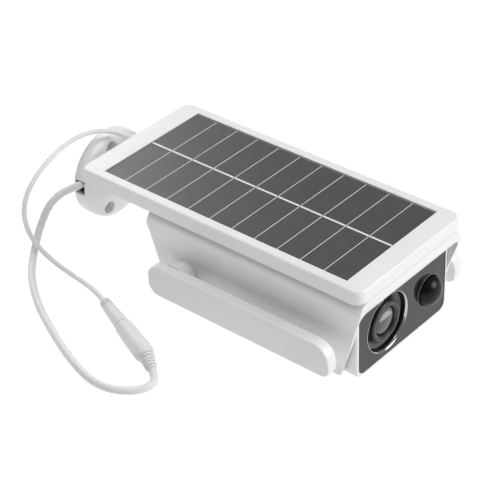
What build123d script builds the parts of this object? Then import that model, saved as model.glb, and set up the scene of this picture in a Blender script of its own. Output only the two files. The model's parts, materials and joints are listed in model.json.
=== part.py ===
"""Solar-powered security camera: a camera body under a solar tray, on a two-axis wall bracket.

Millimetres. X across the camera, Y from the lens towards the wall, Z up.
The drawing datum is on the tray's top face, on the centre plane, datum_to_front behind the tray's front edge.
Everything is drawn from that datum. The last step moves it so that the camera stands on z = 0.
The two leads are the exception: their routes are given in the finished frame, where they lie.
"""
import math
import os

from build123d import *

os.makedirs("parts", exist_ok=True)

# ---- solar tray ----
tray_width = 90.6
tray_length = 195.0
tray_height = 8.25
datum_to_front = 95.0
tray_corner = 6.0
tray_edge_round = 1.7
window_width = 78.5
window_length = 169.2
front_lip = 12.4
window_depth = 2.3
tray_wall = 2.4
tray_floor = 2.0
cell_count = 11
cell_length = 14.9
cell_width = 77.0
cell_thickness = 0.2
laminate_thickness = 0.9
ribbon_width = 1.3
ribbon_thickness = 0.12
cover_sheet = 0.35
tray_boss_radius = 3.6

# ---- hood ----
hood_wall = 1.7
hood_top = 2.2
hood_half_top = 44.9
hood_half_middle = 43.4
hood_half_bottom = 43.6
hood_corner = 8.0
hood_lip_depth = 6.4
hood_lip_thickness = 3.6
hood_lip_corner = 5.0
hood_front_top = -95.0
hood_front_bottom = -81.5
hood_rear_top = 50.8
hood_rear_bottom = 39.6
hood_rear_drop = 8.8
hood_rear_lean = 1.2
hood_skirt = 50.7

# ---- camera body ----
camera_depth = 61.0
body_half = 40.2
body_top = -12.8
body_front = -79.0
body_rear = 33.0
body_wall = 2.2
body_corner = 6.0
gasket = 1.0
bezel_half = 40.4
bezel_top = -12.4
face_y = -89.3
bezel_proud = 0.4
glass_half = 38.3
glass_margin = 1.9
glass_thickness = 2.2
glass_corner = 5.0
fit_gap = 0.1
rear_cap_thickness = 4.0

# ---- optics ----
lens_x, lens_z = -13.1, -38.8
lens_hole = 17.7
lens_ring_wall = 1.2
lens_cup_depth = 8.0
lens_barrel_radius = 10.0
retainer_reach = 1.6
retainer_clearance = 0.3
lens_barrel_length = 21.0
front_element_radius = 8.0
rear_element_radius = 5.4
pir_x, pir_z = 23.5, -39.5
pir_radius = 9.0
pir_reach = 7.0
pir_ring_wall = 1.1
led_board_y = -80.4
board_thickness = 1.6
camera_board_y = -58.0

# ---- power and electronics ----
cell_18650_radius = 9.25
cell_18650_length = 65.2
battery_pitch = 19.5
battery_count = 3
battery_front = -37.6
main_board_z = -32.0

# ---- service opening ----
service_x, service_y = -16.0, -48.0
service_width, service_depth = 34.0, 13.0
service_gap = 0.3
service_thickness = 1.9
button_radius = 1.7
button_length = 5.4
button_travel = 0.5
button_bore_gap = 0.05
switch_side = 6.2
switch_height = 3.6
service_board_z = -50.0

# ---- antennas ----
antenna_thickness = 7.0
antenna_height = 15.8
antenna_front = -86.4
antenna_rear = 37.8
antenna_outer = 60.0
antenna_rear_round = 7.4
antenna_nose_round = 10.2
antenna_chin_round = 5.0
antenna_edge = 0.9
hinge_y, hinge_z = 24.0, -39.6
hinge_boss_outer = 9.4
hinge_boss_inner = 7.6
hinge_pin_radius = 3.0
hinge_running_gap = 0.05
hinge_bush_radius = 6.0
hinge_bush_flange = 7.4
right_antenna_droop = 3.0

# ---- wall bracket ----
tilt_y, tilt_z = 60.0, -34.0
knuckle_radius = 8.7
knuckle_half = 6.3
ear_gap = 0.2
ear_thickness = 5.0
ear_radius = 9.0
bolt_radius = 3.0
bolt_running_gap = 0.05
arm_radius = 11.0
arm_cone_start = 70.0
arm_cone_end = 76.0
arm_bore = 3.6
shaft_radius = 8.0
shaft_running_gap = 0.05
base_radius = 27.0
base_to_tray = 15.0
base_height = 10.5
pad_thickness = 1.0
base_hub_radius = 13.0
base_hub_length = 3.0
base_edge_height = 7.2
base_wall = 2.4
base_cavity_depth = 4.0
screw_circle_radius = 20.5
screw_spread = 71.0
notch_turn = 9.0
screw_hole = 2.2
counterbore = 4.0
counterbore_depth = 3.4
notch_below, notch_above = 6.0, 2.7
notch_depth = 10.0

# ---- leads and the inline connector ----
panel_lead_radius = 1.4
camera_lead_radius = 2.2
panel_lead_exit_z = -4.2
plug_end_radius = 3.0
plug_radius = 4.35
plug_relief_length = 8.0
plug_length = 25.0
jack_mouth_radius = 4.85
jack_radius = 5.5
jack_tail_radius = 4.9
relief_end_radius = 3.1
barrel_gap = 0.3
barrel_outer = 2.75
barrel_inner = 1.3
barrel_length = 9.5
jack_pin_radius = 1.0

tray_front = -datum_to_front
tray_rear = tray_front + tray_length
base_front = tray_rear + base_to_tray
wall_plane = base_front + base_height
origin_y = (face_y - pir_reach + wall_plane) / 2
TO_STAND = Pos(0, -origin_y, camera_depth)

# Routes of the two free leads, in the finished frame. The leads lie as chosen here.
panel_lead_route = [
    (0, 89.5, 56.8), (-0.3, 96.15, 57.1), (-4.2, 102.75, 58.7), (-12.2, 108.55, 59.7), (-21.8, 112.45, 58.5),
    (-32.8, 114.15, 55.7), (-44.6, 114.35, 51.6), (-54.8, 113.75, 46.6), (-62.6, 112.75, 40.2), (-67, 111.55, 31.8),
    (-68, 109.35, 23.2), (-67.4, 105.75, 15.6), (-66.3, 99.75, 9.2), (-65.3, 91.15, 4.6), (-65, 80.75, 2),
    (-66.2, 69.75, 2), (-69.2, 59.95, 3.9), (-72.9, 50.35, 5.9), (-76.4, 41.6, 6.5),
]
camera_lead_route = [
    (-22, 106.85, 30.5), (-31.6, 107.05, 32), (-40.8, 108.75, 31.9), (-48.6, 110.25, 27.6), (-54.8, 110.35, 20.4),
    (-60.2, 109.65, 13.2), (-65.6, 107.55, 6.9), (-72.4, 103.15, 3.2), (-81, 94.95, 2.3), (-90.2, 83.15, 2.25),
    (-99.4, 68.95, 2.25), (-107.6, 53.15, 2.3), (-115.2, 36.95, 2.25), (-121.4, 21.55, 2.3), (-125.6, 7.55, 2.25),
    (-126.6, -3.25, 2.25), (-123.6, -13.85, 2.3), (-117.2, -21.45, 2.25), (-110.3, -24.25, 2.4), (-104.7, -22.15, 3),
    (-101.7, -16.95, 4.1),
]
jack_relief_start = (-97.2, -8.8, 6.5)

nodes = {}


def keep(name, shape):
    """Register a finished node, drawn from the datum."""
    nodes[name] = TO_STAND * shape


def block(x0, x1, y0, y1, z0, z1):
    return Pos((x0 + x1) / 2, (y0 + y1) / 2, (z0 + z1) / 2) * Box(x1 - x0, y1 - y0, z1 - z0)


def rod_y(x, z, y0, y1, radius):
    return Pos(x, (y0 + y1) / 2, z) * Rot(-90, 0, 0) * Cylinder(radius, y1 - y0)


def rod_x(y, z, x0, x1, radius):
    return Pos((x0 + x1) / 2, y, z) * Rot(0, 90, 0) * Cylinder(radius, x1 - x0)


def rod_z(x, y, z0, z1, radius):
    return Pos(x, y, (z0 + z1) / 2) * Cylinder(radius, z1 - z0)


def turned(points):
    """A solid turned about Z from its (radius, height) outline."""
    outline = make_face(Polyline(*[(r, 0, h) for r, h in points], close=True))
    return revolve(outline, Axis.Z)


def turned_y(x, z, points):
    """A solid turned about an axis along Y, from (radius, y) points."""
    return Pos(x, 0, z) * Rot(-90, 0, 0) * turned(points)


def slab_y(half, z0, z1, corner, y0, y1):
    """A plate across Y with rounded corners."""
    outline = Plane(origin=(0, y0, (z0 + z1) / 2), x_dir=(1, 0, 0), z_dir=(0, 1, 0)) * RectangleRounded(
        2 * half, z1 - z0, corner
    )
    return extrude(outline, y1 - y0)


def mirrored_pair(make, *values):
    return [make(side, *values) for side in (-1, 1)]


# ---------------------------------------------------------------- solar tray
window_front = tray_front + front_lip
window_rear = window_front + window_length
window_middle = (window_front + window_rear) / 2
cavity_inset = 3.0
tray_screw_places = [(x, y) for x in (-31.0, 31.0) for y in (-66.0, 12.0)]
panel_screw_radius = 1.25
screw_clearance = 0.25
tray_screw_tip = -window_depth - 1.0


def make_tray():
    tray = block(-tray_width / 2, tray_width / 2, tray_front, tray_rear, -tray_height, 0)
    tray = fillet(tray.edges().filter_by(Axis.Z), tray_corner)
    tray = fillet(tray.faces().sort_by(Axis.Z)[-1].edges(), tray_edge_round)
    half = window_width / 2
    tray -= block(-half, half, window_front, window_rear, -window_depth, 1)
    cavity = block(
        -half + cavity_inset, half - cavity_inset, window_front + cavity_inset, window_rear - cavity_inset,
        -tray_height + tray_floor, -window_depth,
    )
    ribs = [
        block(-half, half, y - 0.8, y + 0.8, -tray_height, -window_depth)
        for y in (window_middle - window_length / 4, window_middle, window_middle + window_length / 4)
    ]
    bosses = [rod_z(x, y, -tray_height, -window_depth, tray_boss_radius) for x, y in tray_screw_places]
    for solid in ribs + bosses:
        cavity -= solid
    tray -= cavity
    for x, y in tray_screw_places:
        tray -= rod_z(x, y, -tray_height - 1, tray_screw_tip, panel_screw_radius)
    tray -= rod_y(0, panel_lead_exit_z, window_rear - 2 * cavity_inset, tray_rear + 1, panel_lead_radius + 1.0)
    return tray


def make_cells(width, length, low, high):
    pitch = window_length / cell_count
    first = window_front + pitch / 2
    return Compound(
        [
            block(-width / 2, width / 2, first + i * pitch - length / 2, first + i * pitch + length / 2, low, high)
            for i in range(cell_count)
        ]
    )


laminate_top = -window_depth + laminate_thickness
cell_top = laminate_top + cell_thickness
ribbon_top = cell_top + ribbon_thickness
keep("panel_tray", make_tray())
panel_gap = 0.15
laminate = block(
    -window_width / 2 + panel_gap, window_width / 2 - panel_gap, window_front + panel_gap,
    window_rear - panel_gap, -window_depth, laminate_top,
)
keep("panel_backing", laminate)
keep("solar_cells", make_cells(cell_width, cell_length, laminate_top, cell_top))
keep("cell_ribbons", make_cells(ribbon_width, cell_length, cell_top, ribbon_top))
cover = block(
    -window_width / 2 + panel_gap, window_width / 2 - panel_gap, window_front + panel_gap,
    window_rear - panel_gap, ribbon_top, ribbon_top + cover_sheet,
)
keep("panel_cover_sheet", cover)
terminal_y = window_rear - 22
cavity_floor = -tray_height + tray_floor
terminal = block(-11, 11, terminal_y - 6, terminal_y + 6, cavity_floor, cavity_floor + board_thickness)
terminal += block(-7, -1, terminal_y - 2, terminal_y + 2, cavity_floor + 1.0, cavity_floor + 3.4)
keep("panel_terminal_board", terminal)
relief_end = tray_rear + 4
grommet = turned_y(
    0, panel_lead_exit_z,
    [(0, tray_rear - 2), (panel_lead_radius + 1.0, tray_rear - 2), (panel_lead_radius + 1.0, tray_rear),
     (3.3, tray_rear), (3.0, tray_rear + 1.4), (panel_lead_radius + 0.7, relief_end), (0, relief_end)],
)
keep("panel_lead_relief", grommet)

# ---------------------------------------------------------------- hood
hood_bottom = -tray_height - hood_skirt
hood_land = -tray_height
hood_ceiling = hood_land - hood_top
hood_lip_low = hood_land - hood_lip_depth
antenna_inner = antenna_outer - antenna_thickness
bush_flange_thickness = 1.2


def hood_section(inset, top, corner, y0, y1):
    """A bar of the hood's own section: hollow sides, and a flat top with rounded corners."""
    half, side_top = hood_half_top - inset, top - corner
    crown = half - corner
    shoulder = corner * math.sqrt(0.5)
    middle = (side_top + hood_bottom) / 2
    left = [
        ThreePointArc(
            (-hood_half_bottom + inset, 0, hood_bottom), (-hood_half_middle + inset, 0, middle), (-half, 0, side_top)
        ),
        ThreePointArc((-half, 0, side_top), (-crown - shoulder, 0, side_top + shoulder), (-crown, 0, top)),
    ]
    right = [mirror(line, Plane.YZ) for line in left]
    top_line = Line((-crown, 0, top), (crown, 0, top))
    foot_line = Line((hood_half_bottom - inset, 0, hood_bottom), (-hood_half_bottom + inset, 0, hood_bottom))
    return Pos(0, y0, 0) * extrude(make_face([*left, top_line, *right, foot_line]), y1 - y0, dir=(0, 1, 0))


def make_hood():
    reach = 110.0
    lip_rear = hood_front_top + hood_lip_thickness
    hood = hood_section(0, hood_land, hood_corner, -reach, reach)
    hood -= hood_section(hood_wall, hood_ceiling, hood_corner - hood_wall, lip_rear, reach + 1)
    hood -= hood_section(hood_wall, hood_lip_low, hood_lip_corner, -reach - 1, lip_rear + 1)
    side_view = make_face(
        Polyline(
            (0, hood_front_top, hood_land + 1),
            (0, hood_front_top, hood_lip_low),
            (0, hood_front_bottom, hood_bottom),
            (0, hood_rear_bottom, hood_bottom),
            (0, hood_rear_top, hood_land - hood_rear_drop),
            (0, hood_rear_top - hood_rear_lean, hood_land + 1),
            close=True,
        )
    )
    hood &= Pos(-hood_half_top - 1, 0, 0) * extrude(side_view, 2 * hood_half_top + 2, dir=(1, 0, 0))
    for side in (-1, 1):
        low, high = sorted((side * (hood_half_bottom - 8), side * (hood_half_top + 8)))
        hood -= rod_x(hinge_y, hinge_z, low, high, hinge_bush_radius)
    for x, y in tray_screw_places:
        hood -= rod_z(x, y, hood_ceiling - 1, hood_land + 1, panel_screw_radius + screw_clearance)
    return hood


keep("hood", make_hood())

# ---------------------------------------------------------------- camera body
shell_floor = -camera_depth + body_wall
cap_screw_places = [(x, z) for x in (-34.4, 34.4) for z in (body_top - 5.8, -camera_depth + 5.8)]
cap_screw_radius = 1.4
cap_screw_boss = 3.8
cap_screw_length = 14.0
speaker_x, speaker_y = 16.0, -58.0
speaker_radius = 13.0
grille_hole = 0.9
body_pad = hood_ceiling - body_top
pad_radius = 5.0


def make_body_shell():
    shell = slab_y(body_half, -camera_depth, body_top, body_corner, body_front, body_rear)
    hollow = slab_y(
        body_half - body_wall, shell_floor, body_top - body_wall, body_corner - body_wall,
        body_front - 1, body_rear + 1,
    )
    for x, z in cap_screw_places:
        hollow -= rod_y(x, z, body_rear - cap_screw_length, body_rear + 1, cap_screw_boss)
    shell -= hollow
    for x, z in cap_screw_places:
        shell -= rod_y(x, z, body_rear - cap_screw_length + 2, body_rear + 1, cap_screw_radius)
    for x, y in tray_screw_places:
        shell += rod_z(x, y, body_top - 1, hood_ceiling, pad_radius)
        shell -= rod_z(x, y, body_top - body_wall - 1, hood_ceiling + 1, panel_screw_radius + screw_clearance)
    for side in (-1, 1):
        shell -= rod_x(hinge_y, hinge_z, side * body_half - 4, side * body_half + 4, hinge_bush_radius)
    shell -= block(
        service_x - service_width / 2 - service_gap, service_x + service_width / 2 + service_gap,
        service_y - service_depth / 2 - service_gap, service_y + service_depth / 2 + service_gap,
        -camera_depth - 1, shell_floor + 1,
    )
    for ring, count in ((0, 1), (4.0, 6), (8.0, 12)):
        for i in range(count):
            angle = 2 * math.pi * i / count
            shell -= rod_z(
                speaker_x + ring * math.cos(angle), speaker_y + ring * math.sin(angle),
                -camera_depth - 1, shell_floor + 1, grille_hole,
            )
    return shell


def ring_y(half, z0, z1, corner, wall, y0, y1):
    ring = slab_y(half, z0, z1, corner, y0, y1)
    return ring - slab_y(half - wall, z0 + wall, z1 - wall, corner - wall, y0 - 1, y1 + 1)


def make_bezel():
    bezel = slab_y(bezel_half, -camera_depth, bezel_top, body_corner, face_y - bezel_proud, body_front - gasket)
    bezel = fillet(bezel.faces().sort_by(Axis.Y)[0].edges(), 1.5)
    bezel -= slab_y(
        glass_half + fit_gap, -camera_depth + glass_margin - fit_gap, glass_top + fit_gap,
        glass_corner + fit_gap, face_y - bezel_proud - 1, face_y + glass_thickness,
    )
    skirt_half = body_half - body_wall - fit_gap
    skirt_low, skirt_high = shell_floor + fit_gap, body_top - body_wall - fit_gap
    skirt = slab_y(skirt_half, skirt_low, skirt_high, body_corner - body_wall, body_front - gasket - 1, body_front + 5)
    bezel += skirt
    wall = 1.7
    return bezel - slab_y(
        skirt_half - wall, skirt_low + wall, skirt_high - wall, 2.4, face_y, body_front + 6
    )


glass_top = bezel_top - glass_margin - 0.5
keep("body_shell", make_body_shell())
keep(
    "front_gasket",
    ring_y(body_half, -camera_depth, body_top, body_corner, body_wall, body_front - gasket, body_front),
)
keep("front_bezel", make_bezel())
cap_front = body_rear + gasket
cap_rear = cap_front + rear_cap_thickness
rear_gasket = ring_y(body_half, -camera_depth, body_top, body_corner, body_wall, body_rear, cap_front)
keep("rear_gasket", rear_gasket)

yoke_half_width, yoke_half_height = 18.0, 12.0
yoke_plate = 3.0
yoke_screws = [(x, z) for x in (-14.6, 14.6) for z in (tilt_z - 8.4, tilt_z + 8.4)]
yoke_screw_radius = 1.4


def make_rear_cap():
    cap = slab_y(body_half, -camera_depth, body_top, body_corner, cap_front, cap_rear)
    cap = fillet(cap.faces().sort_by(Axis.Y)[-1].edges(), 1.2)
    inner = body_half - body_wall - fit_gap
    spigot = ring_y(
        inner, shell_floor + fit_gap, body_top - body_wall - fit_gap, body_corner - body_wall, 1.6,
        body_rear - 3, cap_front,
    )
    for x, z in cap_screw_places:
        spigot -= rod_y(x, z, body_rear - 4, cap_front + 1, cap_screw_boss + 0.4)
    cap += spigot
    for x, z in cap_screw_places:
        cap -= rod_y(x, z, cap_front - 4, cap_rear + 1, cap_screw_radius + 0.2)
    for x, z in yoke_screws:
        cap -= rod_y(x, z, cap_front + 0.6, cap_rear + 1, yoke_screw_radius)
    return cap - rod_y(0, tilt_z - 16.5, cap_front - 1, cap_rear + 1, camera_lead_radius + 0.9)


def pan_screw_y(x, z, seat, tip, shank, head_radius, head_height):
    """A pan-head screw along Y, its head behind the seat and its tip in front of it."""
    screw = rod_y(x, z, tip, seat, shank) + rod_y(x, z, seat, seat + head_height, head_radius)
    return screw - rod_y(x, z, seat + head_height * 0.45, seat + head_height + 1, 0.9)


keep("rear_cap", make_rear_cap())
cap_screws = [
    pan_screw_y(x, z, cap_rear, body_rear - cap_screw_length + 4, cap_screw_radius, 2.6, 1.8)
    for x, z in cap_screw_places
]
keep("rear_cap_screws", Compound(cap_screws))
tray_screws = []
for x, y in tray_screw_places:
    seat = body_top - body_wall
    screw = rod_z(x, y, seat, tray_screw_tip - 0.4, panel_screw_radius) + rod_z(x, y, seat - 1.6, seat, 2.6)
    tray_screws.append(screw - rod_z(x, y, seat - 2.6, seat - 0.8, 0.9))
keep("tray_screws", Compound(tray_screws))

# ---------------------------------------------------------------- front glass, lens and motion sensor
glass_back = face_y + glass_thickness


def make_glass():
    glass = slab_y(glass_half, -camera_depth + glass_margin, glass_top, glass_corner, face_y, glass_back)
    glass -= rod_y(lens_x, lens_z, face_y - 1, glass_back + 1, lens_hole)
    return glass - rod_y(pir_x, pir_z, face_y - 1, glass_back + 1, pir_radius + pir_ring_wall)


keep("front_glass", make_glass())
ring_inner = lens_hole - lens_ring_wall
lens_ring = turned_y(
    lens_x, lens_z,
    [(lens_hole, face_y - 0.2), (lens_hole, glass_back), (ring_inner, glass_back), (ring_inner, face_y + 0.9)],
)
keep("lens_ring", lens_ring)
cup_wall = 1.2
cup_front = face_y + cup_wall
cup_floor = face_y + lens_cup_depth
cup_flange = lens_hole + 0.4
cup_outer = ring_inner - 1.3
cup_inner_front = ring_inner - 2.3
cup_inner_rear = cup_inner_front - 0.8
retainer_radius = min(lens_barrel_radius + retainer_reach, cup_inner_rear - retainer_clearance)
lens_cup = turned_y(
    lens_x, lens_z,
    [(ring_inner, cup_front), (ring_inner, glass_back), (cup_flange, glass_back),
     (cup_flange, glass_back + cup_wall), (cup_outer, glass_back + cup_wall), (cup_outer, cup_floor),
     (lens_barrel_radius, cup_floor), (lens_barrel_radius, cup_floor - cup_wall),
     (cup_inner_rear, cup_floor - cup_wall), (cup_inner_front, cup_front)],
)
keep("lens_cup", lens_cup)
barrel_front = face_y + 1.6
barrel_rear = barrel_front + lens_barrel_length
element_seat = barrel_front + 5.2
barrel = turned_y(
    lens_x, lens_z,
    [(front_element_radius, barrel_front), (lens_barrel_radius, barrel_front), (lens_barrel_radius, barrel_rear),
     (rear_element_radius, barrel_rear), (rear_element_radius, barrel_rear - 6), (4.4, barrel_rear - 6),
     (4.4, element_seat), (front_element_radius, element_seat)],
)
keep("lens_barrel", barrel)
retainer = turned_y(
    lens_x, lens_z,
    [(front_element_radius - 0.6, barrel_front - 0.9), (retainer_radius, barrel_front - 0.9),
     (retainer_radius, barrel_front + 0.9), (lens_barrel_radius, barrel_front + 0.9),
     (lens_barrel_radius, barrel_front), (front_element_radius - 0.6, barrel_front)],
)
keep("lens_retainer", retainer)


def cap_arc(apex, rim, radius):
    """The arc from a dome's apex, on the axis, to its rim."""
    height = rim - apex
    sphere = (radius**2 + height**2) / (2 * abs(height))
    half_angle = math.asin(radius / sphere) / 2
    drop = math.copysign(sphere * (1 - math.cos(half_angle)), height)
    return ThreePointArc((0, 0, apex), (sphere * math.sin(half_angle), 0, apex + drop), (radius, 0, rim))


def make_element(radius, front, rear, front_bulge, rear_bulge):
    """A lens element between two domed faces, turned about the optical axis."""
    face = make_face(
        [
            cap_arc(front - front_bulge, front, radius),
            Line((radius, 0, front), (radius, 0, rear)),
            cap_arc(rear + rear_bulge, rear, radius),
            Line((0, 0, rear + rear_bulge), (0, 0, front - front_bulge)),
        ]
    )
    return Pos(lens_x, 0, lens_z) * Rot(-90, 0, 0) * revolve(face, Axis.Z)


front_element = make_element(front_element_radius, element_seat - 3.4, element_seat, 1.4, -0.6)
keep("lens_front_element", front_element)
keep("lens_rear_element", make_element(rear_element_radius, barrel_rear - 6, barrel_rear - 3, -0.5, 0.9))
holder = block(lens_x - 13, lens_x + 13, barrel_rear, camera_board_y, lens_z - 12, lens_z + 12)
holder += rod_y(lens_x, lens_z, barrel_rear - 7, barrel_rear, lens_barrel_radius + 1.6)
holder -= rod_y(lens_x, lens_z, barrel_rear - 8, barrel_rear, lens_barrel_radius)
holder -= rod_y(lens_x, lens_z, barrel_rear - 1, camera_board_y - 2, 7)
holder -= block(lens_x - 9, lens_x + 9, camera_board_y - 3, camera_board_y + 1, lens_z - 8, lens_z + 8)
keep("lens_holder", holder)
keep("image_sensor", block(lens_x - 5, lens_x + 5, camera_board_y - 1.2, camera_board_y, lens_z - 4, lens_z + 4))
camera_board = block(-34, 34, camera_board_y, camera_board_y + board_thickness, -46, -19)
keep("camera_board", camera_board)

dome_front = face_y - pir_reach
dome_wall = 1.4
dome_rear = glass_back + 1.2
dome_inner = pir_radius - dome_wall
dome_face = make_face(
    [
        cap_arc(dome_front, face_y, pir_radius),
        Line((pir_radius, 0, face_y), (pir_radius, 0, dome_rear)),
        Line((pir_radius, 0, dome_rear), (dome_inner, 0, dome_rear)),
        Line((dome_inner, 0, dome_rear), (dome_inner, 0, face_y)),
        cap_arc(dome_front + dome_wall, face_y, dome_inner),
        Line((0, 0, dome_front + dome_wall), (0, 0, dome_front)),
    ]
)
keep("motion_sensor_dome", Pos(pir_x, 0, pir_z) * Rot(-90, 0, 0) * revolve(dome_face, Axis.Z))
dome_ring = turned_y(
    pir_x, pir_z,
    [(pir_radius, face_y - 0.5), (pir_radius + pir_ring_wall - 0.3, face_y - 0.5),
     (pir_radius + pir_ring_wall, face_y - 0.2), (pir_radius + pir_ring_wall, glass_back),
     (pir_radius + pir_ring_wall + 1, glass_back), (pir_radius + pir_ring_wall + 1, glass_back + 1.2),
     (pir_radius, glass_back + 1.2)],
)
keep("motion_sensor_ring", dome_ring)
sensor_can = rod_y(pir_x, pir_z, led_board_y - 4.2, led_board_y, 4.6)
sensor_can += rod_y(pir_x, pir_z, led_board_y - 0.6, led_board_y, 5.0)
keep("motion_sensor", sensor_can)
led_places = [(-33.0, -53.0), (-33.0, -24.5), (7.2, -54.0), (7.2, -23.0)]
led_board = slab_y(
    36.0, shell_floor + 2.4, body_top - body_wall - 2.4, 3.0, led_board_y, led_board_y + board_thickness
)
led_board -= rod_y(lens_x, lens_z, led_board_y - 1, led_board_y + 3, lens_barrel_radius + 2.2)
keep("led_board", led_board)
leds = []
for x, z in led_places:
    led = rod_y(x, z, led_board_y - 4.4, led_board_y, 1.9)
    leds.append(fillet(led.faces().sort_by(Axis.Y)[0].edges(), 1.6))
keep("infrared_leds", Compound(leds))
keep("microphone", rod_y(31.0, -54.0, led_board_y - 2.4, led_board_y, 2.0))
keep("status_light", rod_y(31.0, -23.0, led_board_y - 5.6, led_board_y, 1.1))

# ---------------------------------------------------------------- battery, boards and speaker
battery_rear = battery_front + cell_18650_length
battery_z = shell_floor + 1.4 + cell_18650_radius
battery_half = battery_pitch * (battery_count - 1) / 2
battery_places = [i * battery_pitch - battery_half for i in range(battery_count)]
tray_side = battery_half + cell_18650_radius + 1.6
end_wall = 2.0
holder_high = battery_z - 1.5
battery_holder = block(
    -tray_side, tray_side, battery_front - end_wall - 0.3, battery_rear + end_wall + 0.3, shell_floor, holder_high
)
for x in battery_places:
    battery_holder -= rod_y(x, battery_z, battery_front - 0.3, battery_rear + 0.3, cell_18650_radius + 0.2)
    battery_holder -= block(
        x - cell_18650_radius - 0.2, x + cell_18650_radius + 0.2, battery_front - 0.3, battery_rear + 0.3,
        battery_z, holder_high + 9,
    )
keep("battery_holder", battery_holder)
batteries = []
for x in battery_places:
    cell = rod_y(x, battery_z, battery_front, battery_rear - 1, cell_18650_radius)
    batteries.append(cell + rod_y(x, battery_z, battery_rear - 1, battery_rear, 3.2))
keep("battery_cells", Compound(batteries))
module_z = main_board_z + board_thickness
main_board = block(-30, 30, -42, 22, main_board_z, module_z) + block(-24, -6, -4, 18, module_z, module_z + 2.6)
for x, y in ((12, 12), (20, 12), (20, -30)):
    main_board += rod_z(x, y, module_z, module_z + 8, 3.0)
keep("main_board", main_board)
speaker = rod_z(speaker_x, speaker_y, shell_floor, shell_floor + 2.4, speaker_radius)
speaker += rod_z(speaker_x, speaker_y, shell_floor + 2.4, shell_floor + 5.2, speaker_radius - 5)
keep("speaker", speaker)

# ---------------------------------------------------------------- service opening
cover_low = -camera_depth + 0.2
cover_left = service_x - service_width / 2
cover_front = service_y - service_depth / 2
service_cover = block(
    cover_left, cover_left + service_width, cover_front, cover_front + service_depth,
    cover_low, cover_low + service_thickness,
)
service_cover = fillet(service_cover.edges().filter_by(Axis.Z), 2.0)
pull_tab = block(service_x - 4, service_x + 4, cover_front + service_depth - 2.6, cover_front + service_depth - 1.2,
                 cover_low - 0.2 + 0.01, cover_low + 0.5)
keep("service_cover", service_cover + pull_tab)
service_board = block(
    cover_left - 1, cover_left + service_width + 1, cover_front - 1, cover_front + service_depth + 1,
    service_board_z, service_board_z + board_thickness,
)
button_places = {"reset_button": service_x - 12.0, "power_button": service_x - 3.0}
button_top = service_board_z - 1.3
for name, x in button_places.items():
    button = rod_z(x, service_y, button_top - button_length, button_top, button_radius)
    keep(name, fillet(button.faces().sort_by(Axis.Z)[0].edges(), 0.5))
    half = switch_side / 2
    switch = block(
        x - half, x + half, service_y - half, service_y + half, service_board_z - switch_height, service_board_z
    )
    switch -= rod_z(
        x, service_y, service_board_z - switch_height - 1, button_top + button_travel + 0.2,
        button_radius + button_bore_gap,
    )
    service_board += switch
slot_x, slot_z = service_x + 9.5, service_board_z - 2.4
card_slot = block(slot_x - 6.6, slot_x + 6.6, service_y - 6, service_y + 6, slot_z, service_board_z)
card_slot -= block(slot_x - 5.6, slot_x + 5.6, service_y - 7, service_y + 5, slot_z + 0.7, service_board_z - 0.6)
keep("service_board", service_board + card_slot)

# ---------------------------------------------------------------- folding antennas
bush_outer = hood_half_bottom + bush_flange_thickness
bush_inner = body_half - body_wall - 1.0
clip_gap = 0.15
clip_thickness = 0.8
pin_end = bush_inner - clip_gap - clip_thickness - 0.8


def make_antenna(side):
    paddle = block(
        antenna_inner, antenna_outer, antenna_front, antenna_rear,
        hinge_z - antenna_height / 2, hinge_z + antenna_height / 2,
    )
    nose = paddle.edges().filter_by(Axis.X).group_by(Axis.Y)[0].sort_by(Axis.Z)[-1]
    paddle = fillet(nose, antenna_nose_round)
    front_edges = paddle.edges().filter_by(Axis.X).filter_by_position(Axis.Y, antenna_front - 0.1, antenna_front + 0.1)
    paddle = fillet(front_edges.sort_by(Axis.Z)[0], antenna_chin_round)
    paddle = fillet(paddle.edges().filter_by(Axis.X).group_by(Axis.Y)[-1], antenna_rear_round)
    paddle = fillet(paddle.faces().sort_by(Axis.X)[-1].edges(), antenna_edge)
    boss = Pos(0, hinge_y, hinge_z) * Rot(0, 90, 0) * turned(
        [(0, bush_outer + 0.2), (hinge_boss_inner, bush_outer + 0.2), (hinge_boss_outer, antenna_inner),
         (hinge_boss_outer, antenna_inner + 1), (0, antenna_inner + 1)]
    )
    groove = bush_inner - clip_gap
    pin = Pos(0, hinge_y, hinge_z) * Rot(0, 90, 0) * turned(
        [(1.2, pin_end), (hinge_pin_radius, pin_end), (hinge_pin_radius, groove - clip_thickness),
         (hinge_pin_radius - 0.7, groove - clip_thickness), (hinge_pin_radius - 0.7, groove),
         (hinge_pin_radius, groove), (hinge_pin_radius, bush_outer + 1), (1.2, bush_outer + 1)]
    )
    antenna = paddle + boss + pin
    return antenna if side > 0 else mirror(antenna, Plane.YZ)


def make_bush(side):
    bush = Pos(0, hinge_y, hinge_z) * Rot(0, 90, 0) * turned(
        [(hinge_pin_radius + hinge_running_gap, bush_inner), (hinge_bush_radius, bush_inner),
         (hinge_bush_radius, hood_half_middle + 0.15), (hinge_bush_flange, hood_half_middle + 0.15),
         (hinge_bush_flange, bush_outer), (hinge_pin_radius + hinge_running_gap, bush_outer)]
    )
    return bush if side > 0 else mirror(bush, Plane.YZ)


def make_clip(side):
    high = bush_inner - clip_gap
    clip = Pos(0, hinge_y, hinge_z) * Rot(0, 90, 0) * turned(
        [(hinge_pin_radius - 0.7, high - clip_thickness), (hinge_pin_radius + 1.8, high - clip_thickness),
         (hinge_pin_radius + 1.8, high), (hinge_pin_radius - 0.7, high)]
    )
    return clip if side > 0 else mirror(clip, Plane.YZ)


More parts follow.
